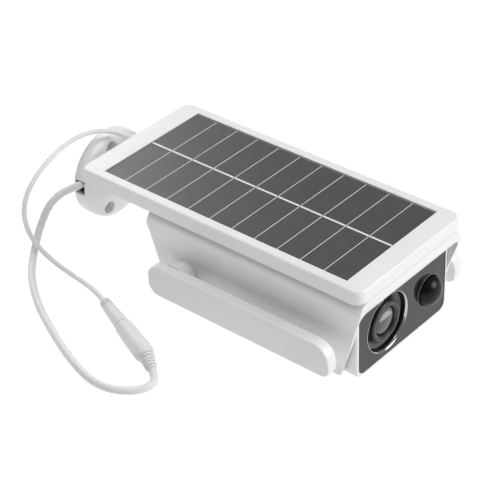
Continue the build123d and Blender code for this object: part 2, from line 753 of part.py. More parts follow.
droop = Pos(0, hinge_y, hinge_z) * Rot(right_antenna_droop, 0, 0) * Pos(0, -hinge_y, -hinge_z)
antenna_left, antenna_right = mirrored_pair(make_antenna)
keep("antenna_left", antenna_left)
keep("antenna_right", droop * antenna_right)
keep("antenna_bushes", Compound(mirrored_pair(make_bush)))
clip_left, clip_right = mirrored_pair(make_clip)
keep("antenna_clip_left", clip_left)
keep("antenna_clip_right", clip_right)

# ---------------------------------------------------------------- tilt yoke, arm and wall base
ear_inner = knuckle_half + ear_gap
ear_outer = ear_inner + ear_thickness
yoke_rear = cap_rear + yoke_plate


def make_yoke():
    yoke = block(
        -yoke_half_width, yoke_half_width, cap_rear, yoke_rear, tilt_z - yoke_half_height, tilt_z + yoke_half_height
    )
    yoke = fillet(yoke.edges().filter_by(Axis.Y), 3.0)
    for side in (-1, 1):
        low, high = sorted((side * ear_inner, side * ear_outer))
        yoke += block(low, high, yoke_rear - 1, tilt_y, tilt_z - ear_radius, tilt_z + ear_radius)
        yoke += rod_x(tilt_y, tilt_z, low, high, ear_radius)
    yoke -= rod_x(tilt_y, tilt_z, -ear_outer - 1, ear_outer + 1, bolt_radius)
    for x, z in yoke_screws:
        yoke -= rod_y(x, z, cap_rear - 1, yoke_rear + 1, yoke_screw_radius + 0.2)
    return yoke


keep("tilt_yoke", make_yoke())
yoke_screw_solids = [
    pan_screw_y(x, z, yoke_rear, cap_front + 0.8, yoke_screw_radius, 2.4, 1.6) for x, z in yoke_screws
]
keep("yoke_screws", Compound(yoke_screw_solids))
bolt = rod_x(tilt_y, tilt_z, -ear_outer - 3.4, ear_outer + 5.4, bolt_radius)
bolt += rod_x(tilt_y, tilt_z, -ear_outer - 3.4, -ear_outer, 5.2)
socket = Pos(-ear_outer - 3.4, tilt_y, tilt_z) * Rot(0, 90, 0) * extrude(RegularPolygon(2.6, 6), 2.0)
keep("tilt_bolt", bolt - socket)
nut = Pos(ear_outer, tilt_y, tilt_z) * Rot(0, 90, 0) * extrude(RegularPolygon(6.2, 6), 4.6)
keep("tilt_nut", nut - rod_x(tilt_y, tilt_z, ear_outer - 1, ear_outer + 6, bolt_radius))

base_rear = wall_plane - pad_thickness
shaft_end = base_rear - 1.0
hub_front = base_front - base_hub_length


def make_arm():
    arm = rod_x(tilt_y, tilt_z, -knuckle_half, knuckle_half, knuckle_radius)
    arm += block(-knuckle_half, knuckle_half, tilt_y, arm_cone_start + 2, tilt_z - 8, tilt_z + 8)
    arm += turned_y(
        0, tilt_z,
        [(0, arm_cone_start), (8.2, arm_cone_start), (arm_radius, arm_cone_end), (arm_radius, hub_front - 0.3),
         (shaft_radius, hub_front - 0.3), (shaft_radius, shaft_end), (0, shaft_end)],
    )
    arm -= rod_x(tilt_y, tilt_z, -knuckle_half - 1, knuckle_half + 1, bolt_radius + bolt_running_gap)
    arm -= rod_y(0, tilt_z, arm_cone_start + 4, shaft_end + 1, arm_bore)
    return arm - block(-2.5, 2.5, arm_cone_start + 4, arm_cone_start + 11, tilt_z - 15, tilt_z)


def polar(radius, angle):
    return radius * math.cos(math.radians(angle)), tilt_z + radius * math.sin(math.radians(angle))


notch_angle = 180 - notch_turn
screw_angles = (notch_angle - screw_spread, notch_angle + screw_spread, notch_angle + 180)
screw_places = [polar(screw_circle_radius, angle) for angle in screw_angles]
TO_NOTCH = Pos(0, 0, tilt_z) * Rot(0, notch_turn, 0)


def make_wall_base():
    edge = base_rear - base_edge_height
    base = turned_y(
        0, tilt_z,
        [(0, hub_front), (base_hub_radius - 1, hub_front), (base_hub_radius, hub_front + 1),
         (base_hub_radius, base_front), (base_radius - 4, edge - 1.1), (base_radius - 1.4, edge - 0.4),
         (base_radius - 0.4, edge + 0.6), (base_radius, edge + 2), (base_radius, base_rear), (0, base_rear)],
    )
    cavity = turned_y(
        0, tilt_z,
        [(0, base_rear - base_cavity_depth), (base_radius - base_wall, base_rear - base_cavity_depth),
         (base_radius - base_wall, base_rear + 1), (0, base_rear + 1)],
    )
    for x, z in screw_places:
        cavity -= rod_y(x, z, base_front, base_rear + 1, screw_hole + 2.2)
    base -= cavity
    base -= rod_y(0, tilt_z, hub_front - 1, base_rear, shaft_radius + shaft_running_gap)
    for x, z in screw_places:
        base -= rod_y(x, z, base_front - 5, base_rear + 1, screw_hole)
        base -= rod_y(x, z, base_front - 5, edge + counterbore_depth, counterbore)
    notch = block(-base_radius - 1, -base_radius + notch_depth, edge + 0.6, base_rear + 1, -notch_below, notch_above)
    return base - TO_NOTCH * notch


keep("swivel_arm", make_arm())
keep("wall_base", make_wall_base())
arm_retainer = turned_y(
    0, tilt_z,
    [(shaft_radius, base_rear - base_cavity_depth + 0.1), (shaft_radius + 3.4, base_rear - base_cavity_depth + 0.1),
     (shaft_radius + 3.4, base_rear - base_cavity_depth + 1.5), (shaft_radius, base_rear - base_cavity_depth + 1.5)],
)
keep("arm_retainer", arm_retainer)
pad = turned_y(
    0, tilt_z,
    [(shaft_radius + 4, base_rear), (base_radius, base_rear), (base_radius, wall_plane),
     (shaft_radius + 4, wall_plane)],
)
for x, z in screw_places:
    pad -= rod_y(x, z, base_rear - 1, wall_plane + 1, screw_hole + 0.4)
keep("base_pad", pad)
grommet_gap = 0.2
grommet_reach = math.hypot(camera_lead_route[0][0], camera_lead_route[0][2] - camera_depth - tilt_z)
base_grommet = block(
    -grommet_reach + 0.1, -base_radius + notch_depth - grommet_gap,
    base_rear - base_edge_height + 0.6 + grommet_gap, base_rear - grommet_gap,
    -notch_below + grommet_gap, notch_above - grommet_gap,
)
keep("base_cable_grommet", TO_NOTCH * base_grommet)

# ---------------------------------------------------------------- inline connector
plug_start, jack_start = Vector(*panel_lead_route[-1]), Vector(*jack_relief_start)
along = (jack_start - plug_start).normalized()
jack_end = (jack_start - plug_start).length


def turned_along(start, direction, points):
    """A solid turned about a line, from (radius, distance) points."""
    return Plane(origin=start, z_dir=direction) * turned(points)


plug = turned_along(
    plug_start, along,
    [(0, 0), (plug_end_radius - 0.4, 0), (plug_end_radius, 0.8),
     (plug_end_radius + 0.45, plug_relief_length), (plug_radius, plug_length), (0, plug_length)],
)
nodes["dc_plug_body"] = plug
barrel_root = plug_start + along * plug_length
barrel_tube = [(barrel_inner, 0), (barrel_outer, 0), (barrel_outer, barrel_length), (barrel_inner, barrel_length)]
nodes["dc_plug_barrel"] = turned_along(barrel_root, along, barrel_tube)
relief_tip = Vector(*camera_lead_route[-1])
relief_along = (relief_tip - jack_start).normalized()
bore = barrel_outer + fit_gap
mouth = plug_length + barrel_gap
bore_end = plug_length + barrel_length + 2
jack = turned_along(
    plug_start, along,
    [(bore, mouth), (jack_mouth_radius - 0.3, mouth), (jack_mouth_radius, mouth + 0.4),
     (jack_radius, mouth + 0.4 * (jack_end - mouth)), (jack_radius, jack_end - 3), (jack_tail_radius, jack_end),
     (0, jack_end), (0, bore_end), (bore, bore_end)],
)
relief_length = (relief_tip - jack_start).length
jack_relief = turned_along(
    jack_start, relief_along,
    [(0, -2.5), (jack_tail_radius - 0.5, -2.5), (jack_tail_radius - 0.3, 0), (relief_end_radius, relief_length),
     (0, relief_length)],
)
nodes["dc_jack_body"] = jack + jack_relief
pin_profile = [(0, 2), (jack_pin_radius, 2), (jack_pin_radius, barrel_length + 2), (0, barrel_length + 2)]
pin = turned_along(barrel_root, along, pin_profile)
nodes["dc_jack_pin"] = pin

# ---------------------------------------------------------------- free leads


def make_lead(name, route, radius):
    """A lead as straight runs joined by arcs, each as large as its two runs allow."""
    points = [Vector(*p) for p in route]
    radii = []
    for before, corner, after in zip(points, points[1:], points[2:]):
        run_in, run_out = corner - before, after - corner
        half_turn = math.radians(run_in.get_angle(run_out)) / 2
        radii.append(0.45 * min(run_in.length, run_out.length) / math.tan(half_turn))
    path = FilletPolyline(*points, radius=radii)
    section = Plane(origin=path @ 0, z_dir=path % 0) * Circle(radius)
    tube = sweep(section, path=path)
    nodes[name] = tube
    expected = math.pi * radius**2 * path.length
    runs = [(b - a).length for a, b in zip(points, points[1:])]
    share, lowest = tube.volume / expected, tube.bounding_box().min.Z
    print(f"{name}: length {path.length:.1f}, volume ratio {share:.4f}, lowest {lowest:.2f}")
    print("  runs ", " ".join(f"{r:.1f}" for r in runs))
    print("  radii", " ".join(f"{r:.1f}" for r in radii), f"smallest {min(radii) / (2 * radius):.1f} diameters")


make_lead("panel_lead", panel_lead_route, panel_lead_radius)
make_lead("camera_lead", camera_lead_route, camera_lead_radius)

for name, shape in nodes.items():
    shape.label = name
    export_step(shape, f"parts/{name}.step")
print(len(nodes), "nodes")
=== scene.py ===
"""Solar-powered security camera on a folding wall bracket.

Metres, in the frame's own axes: X across the camera, Y from the lens towards the wall, Z up.
Small sizes are given in millimetres and go through mm(). Each piece is drawn at its own place and its object
stays at the origin. The order is: tools, finishes, pieces, leads, what each piece rides on, setting, and
the leads baked into place.
"""
import json
import math

import bmesh
import bpy
from mathutils import Matrix, Vector


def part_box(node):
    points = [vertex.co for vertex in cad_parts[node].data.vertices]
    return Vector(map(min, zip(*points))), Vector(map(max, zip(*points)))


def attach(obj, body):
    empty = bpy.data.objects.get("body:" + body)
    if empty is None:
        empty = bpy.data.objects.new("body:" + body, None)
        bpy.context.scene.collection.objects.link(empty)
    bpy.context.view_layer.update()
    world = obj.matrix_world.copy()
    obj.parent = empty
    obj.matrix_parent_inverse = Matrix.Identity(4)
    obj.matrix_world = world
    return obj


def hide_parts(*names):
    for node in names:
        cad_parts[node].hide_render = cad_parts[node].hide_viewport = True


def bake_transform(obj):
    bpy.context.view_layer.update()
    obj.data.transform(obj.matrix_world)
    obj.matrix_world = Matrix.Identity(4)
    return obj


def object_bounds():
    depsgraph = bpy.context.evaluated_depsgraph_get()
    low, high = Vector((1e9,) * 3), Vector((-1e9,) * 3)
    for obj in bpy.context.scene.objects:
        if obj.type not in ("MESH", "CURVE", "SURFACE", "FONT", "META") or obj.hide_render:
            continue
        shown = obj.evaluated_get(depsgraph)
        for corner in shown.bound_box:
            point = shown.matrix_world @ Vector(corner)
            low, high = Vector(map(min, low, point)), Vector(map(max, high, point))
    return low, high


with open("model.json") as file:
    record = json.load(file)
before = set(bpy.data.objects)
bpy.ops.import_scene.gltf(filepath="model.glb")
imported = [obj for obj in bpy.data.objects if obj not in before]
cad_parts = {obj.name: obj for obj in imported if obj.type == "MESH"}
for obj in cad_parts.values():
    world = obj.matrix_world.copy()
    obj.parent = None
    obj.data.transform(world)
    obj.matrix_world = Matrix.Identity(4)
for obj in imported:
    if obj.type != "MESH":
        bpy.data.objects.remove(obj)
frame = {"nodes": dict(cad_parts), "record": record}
CAD_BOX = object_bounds()
NODES = frame["nodes"]


def mm(*values):
    """Millimetres in metres: one number, or a place of three."""
    return values[0] * 0.001 if len(values) == 1 else Vector(values) * 0.001


# ---------------------------------------------------------------- shader tools


class Wire:
    """A shader socket that can be used in sums. Each sum adds its Math node."""

    def __init__(self, finish, socket):
        self.finish, self.socket = finish, socket

    def sum(self, operation, *values):
        return self.finish.add("ShaderNodeMath", {"operation": operation}, dict(enumerate(values)))

    def __add__(self, other):
        return self.sum("ADD", self, other)

    def __sub__(self, other):
        return self.sum("SUBTRACT", self, other)

    def __rsub__(self, other):
        return self.sum("SUBTRACT", other, self)

    def __mul__(self, other):
        return self.sum("MULTIPLY", self, other)

    def __truediv__(self, other):
        return self.sum("DIVIDE", self, other)

    def __rtruediv__(self, other):
        return self.sum("DIVIDE", other, self)

    def __mod__(self, other):
        return self.sum("FLOORED_MODULO", self, other)

    def __rmod__(self, other):
        return self.sum("FLOORED_MODULO", other, self)

    def __abs__(self):
        return self.sum("ABSOLUTE", self)

    __radd__, __rmul__ = __add__, __mul__

    def rise(self, low, high):
        """0 below low and 1 above high, with a soft step between."""
        sockets = {"Value": self, "From Min": low, "From Max": high}
        return self.finish.add("ShaderNodeMapRange", {"interpolation_type": "SMOOTHSTEP"}, sockets)


class Finish:
    """A material while it is being made: a Principled shader and the nodes that feed it."""

    def __init__(self, name, color, roughness, **fixed):
        self.material = bpy.data.materials.new(name)
        self.material.use_nodes = True
        self.tree = self.material.node_tree
        self.shader = self.tree.nodes["Principled BSDF"]
        self.shader.inputs["Base Color"].default_value = (*color, 1)
        self.shader.inputs["Roughness"].default_value = roughness
        for socket, value in fixed.items():
            self.shader.inputs[socket.replace("_", " ")].default_value = value

    def add(self, kind, settings=None, sockets=None, out=0):
        """Any node: its settings first, then the values or wires of its sockets."""
        node = self.tree.nodes.new(kind)
        for name, value in (settings or {}).items():
            setattr(node, name, value)
        for name, value in (sockets or {}).items():
            if isinstance(value, Wire):
                self.tree.links.new(value.socket, node.inputs[name])
            else:
                node.inputs[name].default_value = value
        return Wire(self, node.outputs[out])

    def feed(self, **wires):
        """Wires into the Principled shader's own sockets."""
        for name, wire in wires.items():
            self.tree.links.new(wire.socket, self.shader.inputs[name.replace("_", " ")])
        return self

    def place(self):
        return self.add("ShaderNodeTexCoord", out="Object")

    def axes(self):
        """The three coordinates of the place, as separate wires."""
        split = self.add("ShaderNodeSeparateXYZ", sockets={0: self.place()}).socket.node
        return [Wire(self, output) for output in split.outputs]

    def noise(self, scale, detail=2.0, roughness=0.5, place=None):
        sockets = {"Vector": place or self.place(), "Scale": scale, "Detail": detail, "Roughness": roughness}
        return self.add("ShaderNodeTexNoise", sockets=sockets)

    def mix(self, amount, first, second):
        """A colour between two, which are wires or plain colours."""
        pair = [c if isinstance(c, Wire) else (*c, 1) for c in (first, second)]
        return self.add("ShaderNodeMix", {"data_type": "RGBA"}, {0: amount, 6: pair[0], 7: pair[1]}, out=2)

    def bump(self, height, depth, strength=1.0):
        sockets = {"Height": height, "Distance": depth, "Strength": strength}
        return self.feed(Normal=self.add("ShaderNodeBump", sockets=sockets))


# ---------------------------------------------------------------- modelling tools


def slab(low, high, bm=None):
    """A box from its lowest to its highest corner, in a new bmesh or beside what is in one."""
    bm = bm or bmesh.new()
    size = Vector(high) - Vector(low)
    place = Matrix.Translation((Vector(high) + Vector(low)) / 2) @ Matrix.Diagonal((*size, 1))
    bmesh.ops.create_cube(bm, size=1, matrix=place)
    return bm


def running(bm, axis):
    """The edges that run along an axis: 0 for X, 1 for Y, 2 for Z."""
    def straight(edge):
        step = edge.verts[0].co - edge.verts[1].co
        return abs(step[axis]) > 0.999 * step.length
    return [e for e in bm.edges if straight(e)]


def level(bm, axis, value):
    """The edges that lie in one plane across an axis."""
    return [e for e in bm.edges if all(abs(v.co[axis] - value) < 1e-6 for v in e.verts)]


def sharp(bm, angle):
    """The edges where two faces meet at more than an angle in degrees."""
    return [e for e in bm.edges if len(e.link_faces) == 2 and e.calc_face_angle(0) > math.radians(angle)]


def soften(bm, edges, radius, steps=3):
    """Rounds edges by a radius in millimetres."""
    bmesh.ops.bevel(
        bm, geom=list(edges), offset=mm(radius), offset_type="OFFSET", segments=steps, profile=0.5,
        affect="EDGES", material=-1, clamp_overlap=True,
    )


def cut(bm, place, across):
    """Cuts the mesh on a plane, drops what is on the side that the normal points to, and closes the cut."""
    whole = bm.verts[:] + bm.edges[:] + bm.faces[:]
    made = bmesh.ops.bisect_plane(bm, geom=whole, plane_co=place, plane_no=across, clear_outer=True)
    rim = [e for e in made["geom_cut"] if isinstance(e, bmesh.types.BMEdge)]
    bmesh.ops.holes_fill(bm, edges=rim, sides=0)


def arc(middle, radius, start, stop, steps=8):
    """Points along an arc, in millimetres and degrees."""
    turns = [math.radians(start + (stop - start) * i / steps) for i in range(steps + 1)]
    return [(middle[0] + radius * math.cos(t), middle[1] + radius * math.sin(t)) for t in turns]


def turned(profile, place, along=(0, 1, 0), steps=72, bm=None):
    """A profile of (radius, distance) points in millimetres, spun about the axis that starts at place."""
    bm = bm or bmesh.new()
    before = set(bm.verts)
    verts = [bm.verts.new((mm(radius), 0, mm(far))) for radius, far in profile]
    edges = [bm.edges.new(pair) for pair in zip(verts, verts[1:])]
    bmesh.ops.spin(
        bm, geom=verts + edges, cent=(0, 0, 0), axis=(0, 0, 1), dvec=(0, 0, 0), angle=math.tau, steps=steps,
        use_merge=True, use_duplicate=False,
    )
    made = [v for v in bm.verts if v not in before]
    bmesh.ops.remove_doubles(bm, verts=made, dist=1e-7)
    made = [v for v in bm.verts if v not in before]
    stand = Matrix.Translation(place) @ Vector(along).to_track_quat("Z", "Y").to_matrix().to_4x4()
    bmesh.ops.transform(bm, matrix=stand, verts=made)
    return bm


def spline_points(route):
    """Points along the smooth NURBS line of a lead's route."""
    curve = bpy.data.curves.new("route", "CURVE")
    curve.dimensions = "3D"
    curve.resolution_u = 12
    spline = curve.splines.new("NURBS")
    spline.points.add(len(route) - 1)
    for point, place in zip(spline.points, route):
        point.co = (*mm(*place), 1)
    spline.order_u = 3
    spline.use_endpoint_u = True
    holder = bpy.data.objects.new("route", curve)
    line = bpy.data.meshes.new_from_object(holder)
    points = [v.co.copy() for v in line.vertices]
    bpy.data.objects.remove(holder)
    bpy.data.curves.remove(curve)
    bpy.data.meshes.remove(line)
    return points


def rings_along(points, radii, sides=20):
    """A closed tube through the points, of the given radius at each: bridged rings, ended by caps."""
    bm = bmesh.new()
    turn, last, rings = None, None, []
    for i, (place, radius) in enumerate(zip(points, radii)):
        ahead = (points[min(i + 1, len(points) - 1)] - points[max(i - 1, 0)]).normalized()
        turn = ahead.to_track_quat("Z", "Y") if turn is None else last.rotation_difference(ahead) @ turn
        last = ahead
        circle = bmesh.ops.create_circle(
            bm, segments=sides, radius=radius, matrix=Matrix.Translation(place) @ turn.to_matrix().to_4x4()
        )
        rings.append({e for v in circle["verts"] for e in v.link_edges})
    for first, second in zip(rings, rings[1:]):
        bmesh.ops.bridge_loops(bm, edges=list(first | second))
    for ring in (rings[0], rings[-1]):
        bmesh.ops.contextual_create(bm, geom=list(ring))
    return bm


def piece(name, bm, finish, smooth=35):
    """Makes a bmesh a finished piece, with outward faces and smooth shading below the given angle."""
    bmesh.ops.remove_doubles(bm, verts=bm.verts, dist=1e-7)
    bmesh.ops.recalc_face_normals(bm, faces=bm.faces)
    mesh = bpy.data.meshes.new(name)
    bm.to_mesh(mesh)
    bm.free()
    mesh.materials.append(finish)
    mesh.shade_smooth()
    mesh.set_sharp_from_angle(angle=math.radians(smooth))
    made = bpy.data.objects.new(name, mesh)
    bpy.context.scene.collection.objects.link(made)
    return made


# ---------------------------------------------------------------- finishes


FINGER_PITCH = mm(1.5)
BAFFLE_PITCH = mm(1.9)


def moulded(name, color, roughness, grain=0.00002, mottle=0.03, grain_scale=2600):
    """Injection-moulded plastic: a fine spark-eroded grain, and a faint change of shade over the part."""
    finish = Finish(name, color, roughness)
    drift = finish.noise(18, 3)
    darker = [c * (1 - mottle) for c in color]
    fine = finish.noise(grain_scale, 2, 0.6)
    finish.feed(
        Base_Color=finish.mix(drift.rise(0.35, 0.65), color, darker),
        Roughness=drift * 0.08 + (roughness - 0.04),
    )
    finish.bump(fine, grain)
    return finish.material


def cell_finish():
    """Dark silicon under a clear film, crossed by fine silver fingers."""
    finish = Finish("silicon_cell", (0.03, 0.03, 0.032), 0.36, Coat_Weight=0.3, Coat_Roughness=0.3)
    y = finish.axes()[1]
    shade = finish.noise(60, 2)
    finger = abs((y / FINGER_PITCH) % 1 - 0.5).rise(0.16, 0.02)
    body = finish.mix(shade, (0.045, 0.045, 0.047), (0.065, 0.065, 0.068))
    finish.feed(Base_Color=finish.mix(finger * 0.3, body, (0.2, 0.2, 0.2)))
    return finish.material


def front_element_finish():
    """Coated glass over a dark barrel, drawn opaque: grey rings are painted highlights on the baffle's steps,
    and a painted reflection makes its upper part paler.
    """
    finish = Finish("coated_lens", (0.02, 0.02, 0.022), 0.08, Coat_Weight=0.5, Coat_Roughness=0.02)
    low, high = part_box("lens_ring")
    x, _, z = finish.axes()
    across, up = x - (low.x + high.x) / 2, z - (low.z + high.z) / 2
    radius = across.sum("SQRT", across * across + up * up)
    # Painted highlights: grey rings stand in for the lit step edges of the baffle, which is real, seen through
    # the glass.
    rings = abs((radius / BAFFLE_PITCH) % 1 - 0.5).rise(0.16, 0.0) * 0.8
    # Painted reflection: the upper part of the glass, inside its rim, is painted pale grey.
    painted_reflection = up.rise(mm(1.9), mm(2.5)) * radius.rise(mm(6.2), mm(5.6))
    lower = finish.mix(rings, (0.012, 0.012, 0.014), (0.10, 0.10, 0.11))
    finish.feed(Base_Color=finish.mix(painted_reflection, lower, (0.30, 0.30, 0.30)))
    return finish.material


def plain(name, color, roughness, **fixed):
    """A finish that is the same all over."""
    return Finish(name, color, roughness, **fixed).material


WHITE = moulded("white_shell", (0.80, 0.80, 0.81), 0.36)
FINISHES = {
    "white_housing": WHITE,
    "white_lead": moulded("lead_jacket", (0.77, 0.77, 0.78), 0.45, grain_scale=1500),
    "panel_backing": plain("pale_backing", (0.62, 0.63, 0.63), 0.5),
    # Painted shade: the grey of the band on the wall of the tray's window, where there is only shade.
    "painted_shade_grey": plain("painted_shade_grey", (0.22, 0.22, 0.22), 0.4),
    "solar_cell": cell_finish(),
    "cell_ribbon": plain("tinned_ribbon", (0.75, 0.75, 0.75), 0.35),
    "panel_film": plain("clear_film", (0.9, 0.9, 0.9), 0.2, Alpha=0.06),
    "front_glass": plain("smoked_window", (0.012, 0.012, 0.013), 0.06),
    "lens_black": plain("black_mould", (0.012, 0.012, 0.012), 0.4),
    "lens_trim": plain("polished_rim", (0.55, 0.55, 0.55), 0.2, Metallic=1.0),
    "retainer_grey": plain("grey_retainer", (0.035, 0.035, 0.037), 0.4),
    "cone_grey": plain("cone_grey", (0.10, 0.10, 0.10), 0.32, Metallic=0.2),
    "baffle_black": plain("baffle_black", (0.02, 0.02, 0.02), 0.3),
    "lens_glass": front_element_finish(),
    "iris_glass": plain("iris_glass", (0.02, 0.02, 0.025), 0.05, Coat_Weight=1.0),
    "sensor_dome": plain("black_dome", (0.004, 0.004, 0.004), 0.3, Specular_IOR_Level=0.22),
    "sensor_trim": plain("clear_rim", (0.05, 0.05, 0.05), 0.15),
    "metal_can": plain("nickel_can", (0.6, 0.6, 0.6), 0.3, Metallic=1.0),
    "circuit_board": plain("solder_mask", (0.02, 0.12, 0.05), 0.35),
    "led_lens": plain("led_lens", (0.2, 0.15, 0.2), 0.1),
    "battery_wrap": plain("battery_wrap", (0.03, 0.14, 0.4), 0.3),
    "seal": plain("black_rubber", (0.015, 0.015, 0.015), 0.7),
    "white_rubber": plain("white_rubber", (0.7, 0.7, 0.7), 0.6),
    "button_black": plain("black_button", (0.015, 0.015, 0.015), 0.4),
    "steel": plain("zinc_steel", (0.55, 0.55, 0.56), 0.35, Metallic=1.0),
    "bearing_plastic": plain("acetal", (0.7, 0.7, 0.69), 0.35),
    "contact_metal": plain("nickel_contact", (0.7, 0.66, 0.58), 0.25, Metallic=1.0),
}
for entry in frame["record"]["subparts"]:
    mesh = NODES[entry["node"]].data
    mesh.materials.clear()
    mesh.materials.append(FINISHES[entry["material_slot"]])

# ---------------------------------------------------------------- solar tray

CELL_COUNT, CELL_GAP = 11, mm(0.5)
WINDOW_GAP, WINDOW_EDGE = mm(0.15), mm(0.25)
FILM_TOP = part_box("panel_cover_sheet")[1].z


def solar_tray():
    """The tray: rounded corners and edges, and the sunk window that the panel lies in."""
    low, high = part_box("panel_tray")
    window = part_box("panel_backing")
    bm = slab(low, high)
    soften(bm, running(bm, 2), 6, 10)
    soften(bm, level(bm, 2, high.z), 1.7, 6)
    soften(bm, level(bm, 2, low.z), 0.5, 2)
    for corner, sign in zip(window, (-1, 1)):
        for axis in (0, 1):
            top = [f for f in bm.faces if f.normal.z > 0.99]
            ring = {v for f in top for v in f.verts} | {e for f in top for e in f.edges}
            across = Vector([sign * (i == axis) for i in range(3)])
            edge = corner + across * WINDOW_GAP
            bmesh.ops.bisect_plane(bm, geom=top + list(ring), plane_co=edge, plane_no=across)
    middle = (window[0] + window[1]) / 2
    level_faces = [f for f in bm.faces if f.normal.z > 0.99]
    pane = min(level_faces, key=lambda f: (f.calc_center_median() - middle).length)
    bmesh.ops.inset_individual(bm, faces=[pane], thickness=WINDOW_EDGE, depth=-WINDOW_EDGE)
    window_floor = bmesh.ops.extrude_face_region(bm, geom=[pane])
    bmesh.ops.delete(bm, geom=[pane], context="FACES_ONLY")
    sunk = [v for v in window_floor["geom"] if isinstance(v, bmesh.types.BMVert)]
    bmesh.ops.translate(bm, vec=(0, 0, window[0].z - high.z + WINDOW_EDGE), verts=sunk)
    return piece("tray", bm, FINISHES["white_housing"])


def cell_runs(front, rear):
    """Where each cell starts and stops along the tray."""
    pitch = (rear - front + CELL_GAP) / CELL_COUNT
    return [(front + i * pitch, front + (i + 1) * pitch - CELL_GAP) for i in range(CELL_COUNT)]


def solar_cells():
    """Eleven cells under a clear film, so close to it that both are one level surface."""
    low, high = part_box("solar_cells")
    backing_low, backing_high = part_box("panel_backing")
    backing = slab(backing_low, (backing_high.x, backing_high.y, FILM_TOP - mm(0.04)))
    bm = bmesh.new()
    for start, stop in cell_runs(low.y, high.y):
        slab((low.x, start, low.z), (high.x, stop, FILM_TOP - mm(0.02)), bm)
    return piece("laminate", backing, FINISHES["panel_backing"]), piece("cells", bm, FINISHES["solar_cell"])


def painted_shade_bead():
    """A sloping grey band between the laminate and the wall of the tray's window: painted shade on that wall.
    """
    low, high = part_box("panel_backing")
    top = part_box("panel_tray")[1].z - mm(0.2)
    bm = bmesh.new()
    loops = []
    for out, z in ((WINDOW_GAP, top), (-mm(0.5), FILM_TOP)):
        places = [(low.x - out, low.y - out, z), (high.x + out, low.y - out, z),
                  (high.x + out, high.y + out, z), (low.x - out, high.y + out, z)]
        verts = [bm.verts.new(place) for place in places]
        loops += [bm.edges.new(pair) for pair in zip(verts, verts[1:] + verts[:1])]
    bmesh.ops.bridge_loops(bm, edges=loops)
    return piece("painted_shade_bead", bm, FINISHES["painted_shade_grey"])


def cell_ribbons():
    """The bright ribbon down the middle of the cells, which is broken where one cell ends."""
    low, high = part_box("cell_ribbons")
    bm = bmesh.new()
    for start, stop in cell_runs(low.y, high.y):
        slab((low.x, start + CELL_GAP / 2, FILM_TOP - mm(0.1)), (high.x, stop - CELL_GAP / 2, FILM_TOP), bm)
    return piece("ribbons", bm, FINISHES["cell_ribbon"])


# ---------------------------------------------------------------- hood

# In millimetres. The half widths are the hood's at the foot, halfway up and at the top, and the overrun is
# what is drawn past both ends before they are cut.

HOOD_WALL, HOOD_TOP, HOOD_CORNER = 1.7, 2.2, 8.0
LIP_HEIGHT, LIP_DEEP, LIP_CORNER = 6.4, 3.6, 5.0
FRONT_LEAN, REAR_LEAN, REAR_SHOULDER, REAR_STEP = 13.5, 11.2, 8.8, 1.1
HALF_FOOT, HALF_MIDDLE, HALF_TOP = 43.6, 43.4, 44.9
OVERRUN = 6.0


def hood_line(inset, top, corner, foot, steps=10):
    """(x, z) points from the left foot over the top to the right foot: hollow sides, round corners."""
    side_top = top - corner
    half = [HALF_FOOT - inset, HALF_MIDDLE - inset, HALF_TOP - inset]
    left = []
    for i in range(steps + 1):
        t = i / steps
        bend = half[0] * (1 - t) * (1 - 2 * t) + half[1] * 4 * t * (1 - t) + half[2] * t * (2 * t - 1)
        left.append((-bend, foot + (side_top - foot) * t))
    left += arc((corner - half[2], side_top), corner, 180, 90)[1:]
    return left + [(-x, z) for x, z in reversed(left)]


def strip(bm, line, y):
    """A chain of edges across the camera through (x, z) points."""
    verts = [bm.verts.new((mm(x), y, mm(z))) for x, z in line]
    return [bm.edges.new(pair) for pair in zip(verts, verts[1:])]


def hood():
    """A saddle open at the bottom and the rear, with a lip across the front."""
    low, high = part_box("hood")
    foot, top = low.z * 1000, high.z * 1000
    outer = hood_line(0, top, HOOD_CORNER, foot)
    inner = hood_line(HOOD_WALL, top - HOOD_TOP, HOOD_CORNER - HOOD_WALL, foot)
    mouth = hood_line(HOOD_WALL, top - LIP_HEIGHT, LIP_CORNER, foot)
    bm = bmesh.new()
    front, lip_rear, rear = low.y - mm(OVERRUN), low.y + mm(LIP_DEEP), high.y + mm(OVERRUN)
    chains = [
        strip(bm, inner, rear), strip(bm, inner, lip_rear), strip(bm, mouth, lip_rear),
        strip(bm, mouth, front), strip(bm, outer, front), strip(bm, outer, rear),
    ]
    for first, second in zip(chains, chains[1:] + chains[:1]):
        bmesh.ops.bridge_loops(bm, edges=first + second)
    bmesh.ops.holes_fill(bm, edges=[e for e in bm.edges if e.is_boundary], sides=0)
    bmesh.ops.recalc_face_normals(bm, faces=bm.faces)
    front_line = [(low.y, high.z), (low.y, high.z - mm(LIP_HEIGHT)), (low.y + mm(FRONT_LEAN), low.z)]
    shoulder = high.z - mm(REAR_SHOULDER)
    rear_line = [(high.y - mm(REAR_LEAN), low.z), (high.y, shoulder), (high.y - mm(REAR_STEP), high.z)]
    for line in (front_line, rear_line):
        for start, stop in zip(line, line[1:]):
            cut(bm, (0, *start), (0, stop[1] - start[1], start[0] - stop[0]))
    soften(bm, sharp(bm, 50), 0.35, 2)
    return piece("hood_shell", bm, FINISHES["white_housing"])


# ---------------------------------------------------------------- lens and motion sensor


def axis_of(node):
    """Where a round node's axis meets the face of the front glass."""
    low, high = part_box(node)
    return Vector(((low.x + high.x) / 2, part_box("front_glass")[0].y, (low.z + high.z) / 2))


def ring(name, profile, place, finish, along=(0, 1, 0), edge=0.12):
    """A closed profile spun about the axis, with its sharp edges just broken."""
    bm = turned(profile + profile[:1], place, along)
    soften(bm, sharp(bm, 35), edge, 2)
    return piece(name, bm, FINISHES[finish])


def element(radius, bulge, apex, back, steps, place):
    """A lens element: a bulging front from the apex out to its radius, and a flat back."""
    turns = [i / steps * math.pi / 2 for i in range(steps + 1)]
    front = [(radius * math.sin(t), apex + bulge - bulge * math.cos(t)) for t in turns]
    return turned(front + [(radius, back), (0, back)], place)


